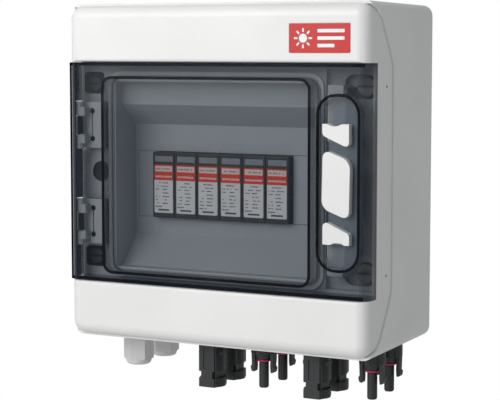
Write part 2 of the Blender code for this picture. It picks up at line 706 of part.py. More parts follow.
def make_blanking_strips(plastic):
    modules_end = MODULE_X0 + 6 * MODULE_PITCH
    ranges = {
        "left": (SLOT_X[0] + GAP, MODULE_X0 - GAP),
        "right": (modules_end + GAP, SLOT_X[1] - GAP),
    }
    z = (SLOT_Z[0] + GAP, SLOT_Z[1] - GAP)
    for side, x in ranges.items():
        strip = block("blanking_strip_" + side, x, (PANEL_FACE_Y, PANEL_FACE_Y + 0.002), z, plastic)
        for offset in (-0.014, 0.014):
            rib_z = (SLOT_CENTRE_Z + offset - 0.0006, SLOT_CENTRE_Z + offset + 0.0006)
            join(strip, block("strip_rib", (x[0] + 0.001, x[1] - 0.001), (-0.0645, -0.0610), rib_z))


def make_rail(steel):
    """A 35 by 7.5 mm top-hat rail on the base's posts."""
    thick = 0.001
    front, back = RAIL_Y
    half = [
        (front, 0.0175),
        (front + thick, 0.0175),
        (front + thick, 0.0135),
        (back, 0.0135),
    ]
    inner = [
        (front, 0.0125),
        (back - thick, 0.0125),
    ]
    lower = [(y, -z) for y, z in reversed(half)]
    inside = [(y, -z) for y, z in inner] + list(reversed(inner))
    outline = [(y, z + SLOT_CENTRE_Z) for y, z in half + lower + inside]
    outline_solid("din_rail", outline, (-RAIL_HALF_LENGTH, RAIL_HALF_LENGTH), "X", steel)


def make_arresters(black):
    """Two bases of three poles on the rail, with a plug in each pole."""
    for index in range(2):
        x0 = MODULE_X0 + index * 3 * MODULE_PITCH
        x = (x0 + 0.0002, x0 + 3 * MODULE_PITCH - 0.0002)
        z = (SLOT_CENTRE_Z - BASE_BLOCK_HALF, SLOT_CENTRE_Z + BASE_BLOCK_HALF)
        body = block(f"spd_base_{index + 1}", x, BASE_BLOCK_Y, z, black, 0, 0.0015, 2)
        room_z = (SLOT_Z[0] - 0.0002, SLOT_Z[1] + 0.0002)
        cut(body, block("plug_room", (x[0] - 0.01, x[1] + 0.01), (-0.07, PLUG_REAR_Y + GAP), room_z))
        for pole in range(3):
            centre = x0 + (pole + 0.5) * MODULE_PITCH
            for end in (-1, 1):
                spot = (centre, -0.0470, SLOT_CENTRE_Z + end * BASE_BLOCK_HALF)
                cut(body, cylinder("terminal_mouth", spot, 0.0032, 0.016, "Z", 12))
    for index in range(6):
        x0 = MODULE_X0 + index * MODULE_PITCH
        x = (x0 + 0.0002, x0 + MODULE_PITCH - 0.0002)
        z = (SLOT_Z[0] + 0.0004, SLOT_Z[1] - 0.0004)
        plug = block(f"spd_plug_{index + 1}", x, (PLUG_FRONT_Y, PLUG_REAR_Y), z, black, 0, 0.0008, 2)
        middle = x0 + MODULE_PITCH / 2
        window = (middle - 0.0073, middle + 0.0073)
        cut(plug, block("window", window, (-0.08, PLUG_FRONT_Y + 0.0006), (0.0057, 0.0102)))


def make_connectors(black, seal_rubber, nylon):
    """Sockets in the first and third columns, plugs in the second and fourth, two rows of each."""
    kinds = ["socket", "plug", "socket", "plug"]
    numbers = {"socket": 0, "plug": 0}
    for x, kind in zip(CONNECTOR_X, kinds):
        for y in CONNECTOR_ROWS.values():
            numbers[kind] += 1
            number = numbers[kind]
            if kind == "socket":
                make_socket(f"socket_connector_{number}", x, y, black)
            else:
                make_plug(f"plug_connector_{number}", x, y, black)
                ring = [(0.0047, 0.0009), (0.0047, -0.0009), (0.0036, -0.0009), (0.0036, 0.0009)]
                turned(f"seal_ring_{number}", ring, (x, y, BOTTOM - 0.0136), seal_rubber, 14, closed=True)
            make_nut(f"{kind}_lock_nut_{number}", x, y, 0.0095, nylon)


def neck_profile():
    """The threaded neck through the base wall, from its top down to the flange."""
    return [
        (0, CONNECTOR_TOP_Z - BOTTOM),
        (CONNECTOR_NECK - 0.0006, CONNECTOR_TOP_Z - BOTTOM),
        (CONNECTOR_NECK, CONNECTOR_TOP_Z - BOTTOM - 0.0006),
        (CONNECTOR_NECK, -GAP),
    ]


def make_socket(name, x, y, black):
    """Panel socket: a round shell with two latch windows and a contact in its bore."""
    shell = 0.00925
    bottom = -0.0354
    profile = neck_profile() + [
        (shell, -GAP),
        (shell, bottom + 0.0006),
        (shell - 0.0006, bottom),
        (0.0042, bottom),
        (0.0042, -0.0110),
        (0.0014, -0.0110),
        (0.0014, bottom + 0.006),
        (0, bottom + 0.006),
    ]
    socket = turned(name, profile, (x, y, BOTTOM), black, steps=20)
    window_z = (BOTTOM - 0.0293, BOTTOM - 0.0236)
    for side in (-1, 1):
        reach = sorted((x + side * 0.0072, x + side * 0.012))
        cut(socket, block("latch_window", reach, (y - 0.0035, y + 0.0035), window_z))
        groove = sorted((y + side * 0.0086, y + side * 0.012))
        groove_z = (BOTTOM - 0.022, BOTTOM - 0.004)
        cut(socket, block("shell_groove", (x - 0.0013, x + 0.0013), groove, groove_z))


def make_plug(name, x, y, black):
    """Panel plug: a collar with two latch fingers beside a probe."""
    profile = neck_profile() + [
        (0.0090, -GAP),
        (0.0090, -0.0086),
        (0.0062, -0.0090),
        (0.0056, -0.0122),
        (0.0030, -0.0122),
        (0.0030, -0.0150),
        (0.0034, -0.0150),
        (0.0034, -0.0322),
        (0.0028, -0.0328),
        (0.0016, -0.0328),
        (0.0016, -0.0250),
        (0, -0.0250),
    ]
    plug = turned(name, profile, (x, y, BOTTOM), black, steps=16)
    for side in (-1, 1):
        finger = [
            (0.0058, -0.0080),
            (0.0084, -0.0080),
            (0.0080, -0.0176),
            (0.0092, -0.0186),
            (0.0086, -0.0214),
            (0.0064, -0.0221),
            (0.0060, -0.0180),
        ]
        outline = [(x + side * px, BOTTOM + pz) for px, pz in finger]
        join(plug, outline_solid("finger", outline, (y - 0.0026, y + 0.0026), "Y"))


def make_nut(name, x, y, radius, material):
    """A hexagonal lock nut on the neck, inside the base."""
    low = BOTTOM + WALL + GAP
    height = 0.0045
    nut = cylinder(name, (x, y, low + height / 2), radius, height, "Z", 6, material)
    cut(nut, cylinder("nut_bore", (x, y, low + height / 2), CONNECTOR_NECK + GAP, 0.01, "Z", 16))


def make_glands(grey):
    """Two cable glands: a body through the base wall, a domed cap below and a lock nut inside."""
    for row, y in GLAND_ROWS.items():
        collar = BOTTOM - GAP
        profile = [
            (0.0040, 0.0120),
            (0.0060, 0.0120),
            (0.0060, -0.0040),
            (0.0075, -0.0040),
            (0.0075, -0.0140),
            (0.0040, -0.0140),
        ]
        body = turned("gland_body_" + row, profile, (GLAND_X, y, BOTTOM), grey, 16, closed=True)
        flange_z = collar - 0.0025
        join(body, hollow_hexagon("gland_flange", GLAND_X, y, flange_z, 0.0106, 0.0045, 0.0050))
        cap_z = (BOTTOM - 0.0254, BOTTOM - 0.0054)
        height = cap_z[1] - cap_z[0]
        cap = cylinder("gland_cap_" + row, (GLAND_X, y, sum(cap_z) / 2), 0.0108, height, "Z", 6, grey)
        chamfer(cap, 0.0022)
        cut(cap, cylinder("cap_thread", (GLAND_X, y, BOTTOM - 0.0054), 0.0078, 0.0180, "Z", 16))
        cut(cap, cylinder("cap_mouth", (GLAND_X, y, BOTTOM - 0.0254), 0.0045, 0.0300, "Z", 14))
        make_nut("gland_lock_nut_" + row, GLAND_X, y, 0.0098, grey)


def hollow_hexagon(name, x, y, z, radius, height, bore):
    hexagon = cylinder(name, (x, y, z), radius, height, "Z", 6)
    cut(hexagon, cylinder(name + "_bore", (x, y, z), bore, height + 0.002, "Z", 16))
    return hexagon


def chamfer(obj, width):
    """Bevels the lower rim of a prism."""
    bm = bmesh.new()
    bm.from_mesh(obj.data)
    low = min(v.co.z for v in bm.verts)
    rim = [e for e in bm.edges if all(v.co.z < low + 1e-5 for v in e.verts)]
    bmesh.ops.bevel(bm, geom=rim, offset=width, segments=2, affect="EDGES", profile=0.6)
    bm.to_mesh(obj.data)
    bm.free()


def arch(start, end, height, lean, steps=20):
    """Points of an upright arch between two connector tops, leaning along Y."""
    points = []
    for i in range(steps + 1):
        t = i / steps
        across = (1 - math.cos(math.pi * t)) / 2
        rise = math.sin(math.pi * t) ** 0.8
        x = start[0] + (end[0] - start[0]) * across
        y = start[1] + (end[1] - start[1]) * across + lean * rise
        points.append((x, y, start[2] + height * rise))
    return points


def make_wires(red, black, green):
    """Conductors from each input connector past the arrester terminals to its output connector."""
    top = CONNECTOR_TOP_Z + GAP
    height = 0.0385
    number = 0
    for first, last, lean in ((0, 2, 0.0055), (1, 3, -0.0055)):
        for y in CONNECTOR_ROWS.values():
            number += 1
            start = (CONNECTOR_X[first], y, top)
            end = (CONNECTOR_X[last], y, top)
            colour = red if lean > 0 else black
            tube(f"dc_wire_{number}", arch(start, end, height, lean), WIRE_RADIUS, colour)
    y = GLAND_ROWS["rear"]
    foot = BOTTOM + 0.0120 + GAP
    goal = (MODULE_X0 + MODULE_PITCH / 2, -0.0470, SLOT_CENTRE_Z - BASE_BLOCK_HALF + 0.002)
    points = []
    steps = 14
    for i in range(steps + 1):
        t = i / steps
        ease = t * t * (3 - 2 * t)
        x = GLAND_X + (goal[0] - GLAND_X) * ease
        points.append((x, y + (goal[1] - y) * ease, foot + (goal[2] - foot) * t))
    tube("earth_wire", points, 0.0020, green)


def main():
    clear_scene()
    light_grey = make_material("light_grey_plastic", (0.76, 0.77, 0.77), 0.45)
    panel_grey = make_material("panel_grey_plastic", (0.72, 0.73, 0.74), 0.5)
    smoked = make_material("smoked_polycarbonate", (0.16, 0.19, 0.23), 0.08, transmission=0.9)
    white = make_material("white_latch_plastic", (0.86, 0.86, 0.85), 0.35)
    rubber = make_material("black_rubber", (0.03, 0.03, 0.03), 0.8)
    seal_rubber = make_material("crimson_rubber", (0.45, 0.03, 0.10), 0.5)
    black = make_material("black_plastic", (0.025, 0.027, 0.03), 0.5)
    nylon = make_material("grey_nylon", (0.30, 0.31, 0.33), 0.5)
    steel = make_material("zinc_plated_steel", (0.62, 0.62, 0.62), 0.3, metallic=1.0)
    red_wire = make_material("red_wire", (0.55, 0.03, 0.03), 0.5)
    green_wire = make_material("green_yellow_wire", (0.20, 0.45, 0.08), 0.5)

    make_base(light_grey)
    make_lid(light_grey)
    make_lid_gasket(rubber)
    make_door(smoked)
    make_door_gasket(rubber)
    for which in BRACKET_BLOCKS:
        make_hinge(which, panel_grey, steel)
    for side in SCREW_HEADS:
        for level in ("upper", "lower"):
            make_lid_screw(side, level, nylon)
    make_latch(white, steel)
    make_blanking_strips(panel_grey)
    make_rail(steel)
    make_arresters(black)
    make_connectors(black, seal_rubber, nylon)
    make_glands(light_grey)
    make_wires(red_wire, black, green_wire)


main()
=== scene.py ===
import math
import random

import bmesh
import bpy
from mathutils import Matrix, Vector


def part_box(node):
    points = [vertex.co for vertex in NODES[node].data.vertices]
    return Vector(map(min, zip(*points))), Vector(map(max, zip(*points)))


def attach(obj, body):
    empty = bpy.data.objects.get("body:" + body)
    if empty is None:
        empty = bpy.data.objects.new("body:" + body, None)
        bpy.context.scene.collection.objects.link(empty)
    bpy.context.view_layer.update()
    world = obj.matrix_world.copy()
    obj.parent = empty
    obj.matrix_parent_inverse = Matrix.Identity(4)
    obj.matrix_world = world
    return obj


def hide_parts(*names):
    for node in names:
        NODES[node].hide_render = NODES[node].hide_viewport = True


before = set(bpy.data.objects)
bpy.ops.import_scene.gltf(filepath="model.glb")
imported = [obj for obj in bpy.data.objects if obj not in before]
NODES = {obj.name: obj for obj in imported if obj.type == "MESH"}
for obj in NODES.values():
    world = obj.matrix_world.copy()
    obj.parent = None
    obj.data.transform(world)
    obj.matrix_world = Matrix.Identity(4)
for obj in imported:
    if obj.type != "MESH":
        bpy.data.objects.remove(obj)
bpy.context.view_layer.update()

BOTTOM_Z = -0.1156
HINGE_AXIS = (-0.1082, -0.1015)
LINE_DEPTH = 0.0003
PRINT_RISE = 0.00004


# ---------------------------------------------------------------- materials

def material(name):
    """A fresh node material: (material, its tree, its Principled shader)."""
    made = bpy.data.materials.new(name)
    made.use_nodes = True
    tree = made.node_tree
    return made, tree, tree.nodes["Principled BSDF"]


def noise(tree, scale, detail=2.0, roughness=0.5, stretch=(1.0, 1.0, 1.0)):
    """Noise in the piece's own space, in cycles per metre."""
    place = tree.nodes.new("ShaderNodeTexCoord")
    mapping = tree.nodes.new("ShaderNodeMapping")
    mapping.inputs["Scale"].default_value = stretch
    texture = tree.nodes.new("ShaderNodeTexNoise")
    texture.inputs["Scale"].default_value = scale
    texture.inputs["Detail"].default_value = detail
    texture.inputs["Roughness"].default_value = roughness
    tree.links.new(place.outputs["Object"], mapping.inputs["Vector"])
    tree.links.new(mapping.outputs["Vector"], texture.inputs["Vector"])
    return texture.outputs["Fac"]


def spread(tree, value, low, high):
    """The noise value's middle half, stretched over low to high."""
    stretch = tree.nodes.new("ShaderNodeMapRange")
    stretch.inputs["From Min"].default_value = 0.3
    stretch.inputs["From Max"].default_value = 0.7
    stretch.inputs["To Min"].default_value = low
    stretch.inputs["To Max"].default_value = high
    tree.links.new(value, stretch.inputs["Value"])
    return stretch.outputs["Result"]


def tinted(tree, value, dark, light):
    ramp = tree.nodes.new("ShaderNodeMix")
    ramp.data_type = "RGBA"
    ramp.inputs["A"].default_value = (*dark, 1.0)
    ramp.inputs["B"].default_value = (*light, 1.0)
    tree.links.new(value, ramp.inputs["Factor"])
    return ramp.outputs["Result"]


def bumped(tree, shader, height, strength, distance):
    bump = tree.nodes.new("ShaderNodeBump")
    bump.inputs["Strength"].default_value = strength
    bump.inputs["Distance"].default_value = distance
    tree.links.new(height, bump.inputs["Height"])
    tree.links.new(bump.outputs["Normal"], shader.inputs["Normal"])


def plastic(name, colour, rough=0.42, grain=0.25, grain_scale=1400, mottle=0.03, specular=0.5):
    """Moulded plastic: fine spark-eroded grain, slight flow marks in colour and gloss."""
    made, tree, shader = material(name)
    shader.inputs["Specular IOR Level"].default_value = specular
    flow = spread(tree, noise(tree, 14, 3.0), 0.0, 1.0)
    dark = tuple(c * (1 - mottle) for c in colour)
    light = tuple(min(c * (1 + mottle), 1.0) for c in colour)
    tree.links.new(tinted(tree, flow, dark, light), shader.inputs["Base Color"])
    gloss = spread(tree, noise(tree, 90, 4.0, 0.6), rough - 0.05, rough + 0.05)
    tree.links.new(gloss, shader.inputs["Roughness"])
    bumped(tree, shader, noise(tree, grain_scale, 3.0, 0.6), grain, 0.00004)
    return made


def smoked(name, alpha, colour, rough, specular=0.5):
    """Thin smoked polycarbonate: what is behind shows through, dimmed, under a gloss with faint waves."""
    made, tree, shader = material(name)
    shader.inputs["Alpha"].default_value = alpha
    shader.inputs["Specular IOR Level"].default_value = specular
    flow = spread(tree, noise(tree, 25, 2.0), 0.0, 1.0)
    darker = tuple(c * 0.8 for c in colour)
    tree.links.new(tinted(tree, flow, darker, colour), shader.inputs["Base Color"])
    tree.links.new(spread(tree, noise(tree, 160, 3.0), rough, rough + 0.05), shader.inputs["Roughness"])
    bumped(tree, shader, noise(tree, 30, 2.0), 0.04, 0.0003)
    return made


def metal(name, colour, rough):
    """Plated steel with a fine drawn grain along X."""
    made, tree, shader = material(name)
    shader.inputs["Metallic"].default_value = 1.0
    drawn = noise(tree, 900, 4.0, 0.6, (0.03, 1.0, 1.0))
    dark = tuple(c * 0.85 for c in colour)
    tree.links.new(tinted(tree, spread(tree, drawn, 0.0, 1.0), dark, colour), shader.inputs["Base Color"])
    tree.links.new(spread(tree, drawn, rough, rough + 0.15), shader.inputs["Roughness"])
    bumped(tree, shader, drawn, 0.1, 0.00003)
    return made


def striped(name, first, second):
    """Insulation in two colours, in bands along X."""
    made, tree, shader = material(name)
    place = tree.nodes.new("ShaderNodeTexCoord")
    bands = tree.nodes.new("ShaderNodeTexWave")
    bands.inputs["Scale"].default_value = 60
    step = tree.nodes.new("ShaderNodeMath")
    step.operation = "GREATER_THAN"
    step.inputs[1].default_value = 0.6
    tree.links.new(place.outputs["Object"], bands.inputs["Vector"])
    tree.links.new(bands.outputs["Fac"], step.inputs[0])
    tree.links.new(tinted(tree, step.outputs["Value"], first, second), shader.inputs["Base Color"])
    tree.links.new(spread(tree, noise(tree, 300), 0.35, 0.5), shader.inputs["Roughness"])
    return made


SHELL = plastic("shell_plastic", (0.79, 0.79, 0.775), rough=0.40, grain=0.30, grain_scale=1500)
# Painted shade: the lid is one light grey moulding. Its faces behind the door, and the blanking plates in the
# same recess, get this darker blue-grey to stand in for the dimmer light inside the recess.
RECESS_PAINTED_SHADE = plastic("recess_plastic_painted_shade", (0.41, 0.455, 0.50), rough=0.48, grain=0.35, grain_scale=1500)
BRACKET = plastic("bracket_plastic", (0.46, 0.50, 0.54), rough=0.45)
# Painted shade: the front faces of the lid's ring inside the recess are the same moulding as the shell, given
# a mid grey, lighter than the recess grey and darker than the shell, as a shaded copy of the lid plastic.
RING_PAINTED_SHADE = plastic("ring_plastic_painted_shade", (0.62, 0.66, 0.70), rough=0.45)
# Painted shade: near-black colour put on the faces of the lid's deep pockets, its round pit and a small hole
# in its side, and in the hinge recesses and slit, in place of the shade that fills them.
PIT_SHADE_PAINT = plastic("pocket_painted_shade", (0.035, 0.038, 0.042), rough=0.55)
GLASS = smoked("smoked_window", 0.22, (0.016, 0.022, 0.034), 0.05)
WALLS = smoked("smoked_walls", 0.38, (0.014, 0.019, 0.030), 0.12, 0.3)
SIDE = smoked("smoked_side", 0.90, (0.026, 0.033, 0.058), 0.15, 0.3)
LINE = smoked("smoked_lines", 0.99, (0.004, 0.005, 0.007), 0.30, 0.0)
# Painted light: the door's pocket floor and sill are the same smoked plastic as the plate. They get a
# lighter, more opaque tone so that the shaded channel and platform behind them read as lit.
FLOOR_PAINTED_LIGHT = smoked("smoked_pocket_floor_painted_light", 0.52, (0.15, 0.18, 0.22), 0.12)
WHITE = plastic("white_latch_plastic", (0.79, 0.79, 0.775), rough=0.36, grain=0.15)
BLACK = plastic("arrester_plastic", (0.026, 0.029, 0.032), rough=0.48, grain=0.5, mottle=0.08)
CONNECTOR = plastic("connector_plastic", (0.021, 0.023, 0.024), rough=0.42, grain=0.4, mottle=0.08)
# Painted shade: the left screws sit in deep pockets that look near-black from shade, so their heads are
# coloured near-black to carry that shade; the right screws keep a grey nylon.
LEFT_SCREW_SHADE = plastic("screw_nylon_painted_shade", (0.05, 0.055, 0.06), rough=0.5)
GREY_NYLON = plastic("grey_screw_nylon", (0.24, 0.25, 0.26), rough=0.45)
GLAND = plastic("gland_nylon", (0.68, 0.68, 0.67), rough=0.46, grain=0.3)
WINDOW = plastic("status_window", (0.24, 0.27, 0.30), rough=0.25, grain=0.1)
SEAL_GREY = plastic("grey_seal_rubber", (0.50, 0.53, 0.57), rough=0.7, grain=0.4, grain_scale=900)
RUBBER = plastic("black_rubber", (0.014, 0.014, 0.015), rough=0.75, grain=0.6, grain_scale=700, mottle=0.12)
CRIMSON = plastic("crimson_rubber", (0.50, 0.035, 0.10), rough=0.5, grain=0.3)
STEEL = metal("plated_steel", (0.62, 0.62, 0.60), 0.25)
RED_WIRE = plastic("red_insulation", (0.50, 0.03, 0.025), rough=0.4)
BLACK_WIRE = plastic("black_insulation", (0.02, 0.02, 0.022), rough=0.4)
EARTH_WIRE = striped("earth_insulation", (0.12, 0.36, 0.05), (0.80, 0.62, 0.04))
PLATE_RED = plastic("plate_red", (0.57, 0.020, 0.018), rough=0.32, grain=0.1)
PLATE_WHITE = plastic("plate_white", (0.85, 0.85, 0.84), rough=0.35, grain=0.1)
LABEL_RED = plastic("label_red", (0.78, 0.040, 0.004), rough=0.35, grain=0.15, grain_scale=600)
LABEL_PALE = plastic("label_pale", (0.80, 0.66, 0.62), rough=0.35, grain=0.15, grain_scale=600)
LABEL_GREY = plastic("label_grey", (0.78, 0.80, 0.83), rough=0.35, grain=0.15, grain_scale=600)
LABEL_MARK = plastic("label_print", (0.06, 0.07, 0.10), rough=0.45)


# ---------------------------------------------------------------- mesh helpers

def add(name, bm, materials, body):
    """The bmesh as a piece that rides on a body."""
    bmesh.ops.recalc_face_normals(bm, faces=bm.faces)
    mesh = bpy.data.meshes.new(name)
    bm.to_mesh(mesh)
    bm.free()
    for each in materials:
        mesh.materials.append(each)
    obj = bpy.data.objects.new(name, mesh)
    bpy.context.scene.collection.objects.link(obj)
    if body:
        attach(obj, body)
    return obj


def soften(obj, width, segments=2, angle=30, smooth=True):
    """Rounds the edges of a piece, and shades it by face size so that flats stay flat."""
    bevel = obj.modifiers.new("soft_edges", "BEVEL")
    bevel.width = width
    bevel.segments = segments
    bevel.limit_method = "ANGLE"
    bevel.angle_limit = math.radians(angle)
    bevel.use_clamp_overlap = True
    normals = obj.modifiers.new("normals", "WEIGHTED_NORMAL")
    normals.keep_sharp = False
    normals.weight = 80
    for polygon in obj.data.polygons:
        polygon.use_smooth = smooth
    return obj


def copied(*nodes):
    """A bmesh of CAD nodes, welded, with coplanar faces joined."""
    bm = bmesh.new()
    for node in nodes:
        bm.from_mesh(NODES[node].data)
    for layer in list(bm.loops.layers.float_vector.values()):
        bm.loops.layers.float_vector.remove(layer)
    bmesh.ops.remove_doubles(bm, verts=bm.verts, dist=2e-6)
    bmesh.ops.dissolve_limit(bm, angle_limit=math.radians(0.7), verts=bm.verts, edges=bm.edges)
    for face in bm.faces:
        face.material_index = 0
    return bm


def restyle(node, name, made, body, width, segments=2, angle=30):
    """A CAD node's shape as a piece with rounded edges."""
    obj = add(name, copied(node), [made], body)
    soften(obj, width, segments, angle)
    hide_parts(node)
    return obj


def carve(obj, cutters, operation="DIFFERENCE"):
    """Booleans baked into the piece's mesh; the cutters are removed."""
    for cutter in cutters:
        modifier = obj.modifiers.new("carve", "BOOLEAN")
        modifier.operation = operation
        modifier.solver = "EXACT"
        modifier.object = cutter
    bpy.context.view_layer.update()
    graph = bpy.context.evaluated_depsgraph_get()
    mesh = bpy.data.meshes.new_from_object(obj.evaluated_get(graph))
    obj.modifiers.clear()
    obj.data = mesh
    for cutter in cutters:
        bpy.data.objects.remove(cutter, do_unlink=True)
    return obj


def box_into(bm, x, y, z, index=0):
    """A box from its ranges, added to a bmesh."""
    made = bmesh.ops.create_cube(bm, size=1.0)["verts"]
    size = Vector((x[1] - x[0], y[1] - y[0], z[1] - z[0]))
    centre = Vector((x[1] + x[0], y[1] + y[0], z[1] + z[0])) / 2
    bmesh.ops.scale(bm, vec=size, verts=made)
    bmesh.ops.translate(bm, vec=centre, verts=made)
    for face in {f for v in made for f in v.link_faces}:
        face.material_index = index


def cutter_box(x, y, z):
    bm = bmesh.new()
    box_into(bm, x, y, z)
    return add("cutter", bm, [], None)


def lathe_into(bm, profile, centre, steps=48, closed=True):
    """A turned shape about the vertical through centre, from (radius, z) points."""
    rings = []
    for radius, z in profile:
        if radius < 1e-7:
            rings.append([bm.verts.new((centre[0], centre[1], centre[2] + z))])
            continue
        ring = []
        for i in range(steps):
            turn = 2 * math.pi * i / steps
            x = centre[0] + radius * math.cos(turn)
            y = centre[1] + radius * math.sin(turn)
            ring.append(bm.verts.new((x, y, centre[2] + z)))
        rings.append(ring)
    pairs = list(zip(rings, rings[1:]))
    if closed:
        pairs.append((rings[-1], rings[0]))
    for first, second in pairs:
        if len(first) == 1 and len(second) == 1:
            continue
        for i in range(steps):
            j = (i + 1) % steps
            corners = [first[i % len(first)], first[j % len(first)],
                       second[j % len(second)], second[i % len(second)]]
            face = [v for k, v in enumerate(corners) if v not in corners[:k]]
            bm.faces.new(face)


def prism_into(bm, outline, low, high, axis="Z", index=0):
    """A flat outline pushed from low to high along Z, or along Y with the outline as (x, z)."""
    def place(u, v, w):
        return (u, v, w) if axis == "Z" else (u, w, v)

    first = [bm.verts.new(place(u, v, low)) for u, v in outline]
    second = [bm.verts.new(place(u, v, high)) for u, v in outline]
    faces = [bm.faces.new(first), bm.faces.new(second)]
    count = len(outline)
    for i in range(count):
        j = (i + 1) % count
        faces.append(bm.faces.new((first[i], first[j], second[j], second[i])))
    for face in faces:
        face.material_index = index


def arc(centre, radius, start, end, steps):
    turns = [math.radians(start + (end - start) * i / steps) for i in range(steps + 1)]
    return [(centre[0] + radius * math.cos(t), centre[1] + radius * math.sin(t)) for t in turns]


def rounded(x, z, radii, steps=5):
    """A rectangle with its own radius at each corner: top right, top left, bottom left, bottom right."""
    corners = [(x[1], z[1], -1, -1, 0), (x[0], z[1], 1, -1, 90),
               (x[0], z[0], 1, 1, 180), (x[1], z[0], -1, 1, 270)]
    points = []
    for (cx, cz, sx, sz, start), radius in zip(corners, radii):
        points += arc((cx + sx * radius, cz + sz * radius), radius, start, start + 90, steps)
    return points


def grown(node, by=0.0):
    """Ranges (x, y, z) of a CAD node, grown by a margin."""
    low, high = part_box(node)
    return [(low[i] - by, high[i] + by) for i in range(3)]


# ---------------------------------------------------------------- enclosure

def make_base():
    base = add("base_shell", copied("base_box"), [SHELL], "housing")
    soften(base, 0.0007, 3, 40)
    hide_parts("base_box")


def make_lid():
    """The lid in tones by place, all one moulding: the outer bands in shell grey, and the darker grey behind
    the door as painted recess shade, with a mid-grey ring and near-black pockets as painted shade too.
    """
    door_z = grown("door")[2]
    bm = copied("lid")
    for face in bm.faces:
        centre = face.calc_center_median()
        behind = centre.y > -0.0996 and door_z[0] - 0.0006 < centre.z < door_z[1] + 0.0006
        on_side = abs(centre.x) > 0.112
        # Faces behind the door get the darker grey as painted recess shade.
        if behind and not on_side:
            face.material_index = 1
        # Front faces of the ring get the mid grey as painted shade.
        if behind and -0.0928 < centre.y < -0.0922 and face.normal.y < -0.9:
            face.material_index = 3
        # The pocket, pit and side-hole faces get the near-black colour as painted shade.
        left_pit = -0.1106 < centre.x < -0.0938 and 0.0530 < abs(centre.z) < 0.0690
        round_pit = math.hypot(centre.x + 0.0972, centre.z + 0.0007) < 0.0074
        side_hole_shade = 0.1125 < centre.x < 0.1134 and abs(centre.y + 0.0775) < 0.0016
        if side_hole_shade or centre.y > -0.0909 and (left_pit or round_pit):
            face.material_index = 2
    lid = add("lid_shell", bm, [SHELL, RECESS_PAINTED_SHADE, PIT_SHADE_PAINT, RING_PAINTED_SHADE], "housing")
    soften(lid, 0.00035, 2, 35)
    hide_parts("lid")


def make_door():
    """The smoked door: clear plate, pocket floor and sill in a lighter, more opaque smoke as painted light,
    dark walls, and black lines along them.
    """
    low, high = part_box("door")
    bm = copied("door")
    for face in bm.faces:
        centre = face.calc_center_median()
        if abs(face.normal.y) > 0.9 and centre.y < low[1] + 0.0025:
            face.material_index = 0
        # Pocket floor and sill faces get the lighter smoke as painted light.
        elif abs(face.normal.y) > 0.9 and 0.0780 < centre.x < 0.1060 and -0.1016 < centre.y < -0.0998:
            face.material_index = 2
        elif abs(face.normal.z) > 0.9 and centre.z < low[2] + 0.0025 and centre.y > low[1] + 0.0015:
            face.material_index = 2
        else:
            face.material_index = 3 if centre.x < -0.1050 else 1
    door = add("door_window", bm, [GLASS, WALLS, FLOOR_PAINTED_LIGHT, SIDE], "door")
    soften(door, 0.0003, 2, 35)
    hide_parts("door")

    lines = bmesh.new()
    front = low[1] + 0.0016
    deep = (front, front + LINE_DEPTH)
    left = (low[0] + 0.0008, low[0] + 0.0024)
    box_into(lines, left, deep, (low[2] + 0.0001, high[2] - 0.0001))
    for z in (low[2] + 0.0001, high[2] - 0.0023):
        box_into(lines, (left[1], high[0] - 0.0032), deep, (z, z + 0.0022))
    frame_into(lines, (-0.0872, 0.0726), (-0.0702, 0.0662), 0.0080, 0.0020, front)
    frame_into(lines, (0.0765, 0.1075), (-0.0585, 0.0563), 0.0135, 0.0018, front)
    add("door_wall_lines", lines, [LINE], "door")


def frame_into(bm, x, z, radius, wall, front):
    """A thin upright frame with rounded corners."""
    back = front + LINE_DEPTH
    outer = rounded(x, z, (radius,) * 4, 6)
    inner = rounded((x[0] + wall, x[1] - wall), (z[0] + wall, z[1] - wall), (radius - wall,) * 4, 6)
    rings = []
    for outline, y in ((outer, front), (outer, back), (inner, back), (inner, front)):
        rings.append([bm.verts.new((px, y, pz)) for px, pz in outline])
    count = len(outer)
    for k in range(4):
        first, second = rings[k], rings[(k + 1) % 4]
        for i in range(count):
            j = (i + 1) % count
            bm.faces.new((first[i], first[j], second[j], second[i]))


def make_hinges():
    """Brackets with painted shade, near-black, in their recesses and slit, and their steel pins."""
    for which in ("upper", "lower"):
        node = f"hinge_bracket_{which}"
        bm = copied(node)
        for face in bm.faces:
            centre = face.calc_center_median()
            # Faces in the recess and slit get the near-black colour as painted shade.
            inside = -0.1036 < centre.x < -0.0988 and -0.0959 < centre.y < -0.0925
            face.material_index = 1 if inside else 0
        low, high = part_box(node)
        for z in (low[2] - 0.0003, high[2]):
            prism_into(bm, arc(HINGE_AXIS, 0.0028, 0, 345, 23), z, z + 0.0003)
        leaf = add(f"hinge_leaf_{which}", bm, [BRACKET, PIT_SHADE_PAINT], "housing")
        soften(leaf, 0.0003, 2, 35)
        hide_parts(node)
        slots = NODES[f"hinge_pin_{which}"].data.materials
        slots.clear()
        slots.append(STEEL)


def make_screws():
    for side in ("left", "right"):
        for level in ("upper", "lower"):
            # Left screws near-black as painted pocket shade, right screws grey.
            made = LEFT_SCREW_SHADE if side == "left" else GREY_NYLON
            name = f"cover_screw_{level}_{side}"
            body = f"screw_{level}_{side}"
            restyle(f"lid_screw_{level}_{side}", name, made, body, 0.0003, 2, 40)


def make_latch():
    for node, body in (("latch_grip", "door"), ("latch_slider_upper", "upper_slider"),
                       ("latch_slider_lower", "lower_slider")):
        restyle(node, node.replace("latch_", "latch_white_"), WHITE, body, 0.00055, 3, 50)


# ---------------------------------------------------------------- arresters

def dashes(bm, x, z, height, share, front, draw, index):
    """A row of short marks in place of a printed line, filling a share of the range."""
    at = x[0]
    while at < x[1] - 0.0003:
        length = draw.uniform(0.0004, 0.0013)
        end = min(at + length, x[1])
        if draw.random() < share:
            tall = (z - height / 2, z + height / 2)
            box_into(bm, (at, end), (front - PRINT_RISE, front + 0.00002), tall, index)
        at = end + draw.uniform(0.0002, 0.0004)


